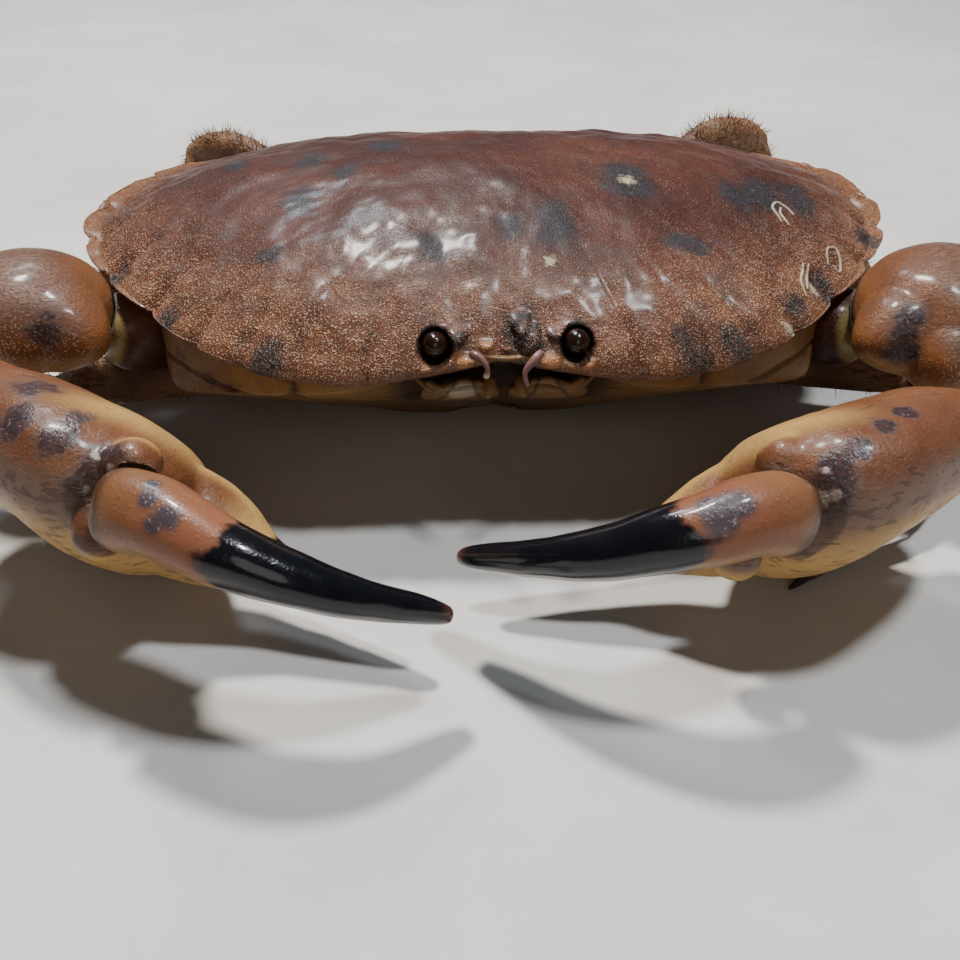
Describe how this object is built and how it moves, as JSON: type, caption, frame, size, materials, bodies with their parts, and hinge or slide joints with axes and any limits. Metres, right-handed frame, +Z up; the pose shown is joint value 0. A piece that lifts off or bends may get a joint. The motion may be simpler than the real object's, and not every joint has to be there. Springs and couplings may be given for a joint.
{
  "type": "cooked crab",
  "caption": "Whole cooked brown crab resting on its belly, claws folded in front of its mouth and walking legs tucked beside the body.",
  "frame": {"origin": "on the flat of the belly, under the widest line of the shell, where the crab touches the surface that it lies on", "axes": "-Y out of the mouth, +X to the right of someone who faces the mouth, +Z up out of the back"},
  "size_m": [0.2263, 0.1973, 0.0617],
  "materials": {
    "carapace_shell": "fine glossy granules, mottled red-brown with slate blotches",
    "body_cream": "satin",
    "claw_shell": "satin to glossy, mottled orange-brown with dark blotches",
    "arm_shell": "satin",
    "finger_shell": "glossy, black over the outer two thirds",
    "leg_shell": "satin with fine bristles",
    "eye_black": "wet gloss",
    "feeler_pink": "satin"
  },
  "bodies": {
    "root": {"carapace": "carapace_shell", "underbody": "body_cream", "mouth_plate_left": "body_cream", "mouth_plate_right": "body_cream", "eye_left": "eye_black", "eye_right": "eye_black", "feeler_left": "feeler_pink", "feeler_right": "feeler_pink", "claw_arm_left": "arm_shell", "claw_arm_right": "arm_shell", "claw_wrist_left": "claw_shell", "claw_wrist_right": "claw_shell", "claw_palm_left": "claw_shell", "claw_palm_right": "claw_shell", "claw_finger_left": "finger_shell", "claw_finger_right": "finger_shell", "leg_1_left": "leg_shell", "leg_1_right": "leg_shell", "leg_2_left": "leg_shell", "leg_2_right": "leg_shell", "leg_3_left": "leg_shell", "leg_3_right": "leg_shell", "leg_4_left": "leg_shell", "leg_4_right": "leg_shell"}
  },
  "joints": []
}
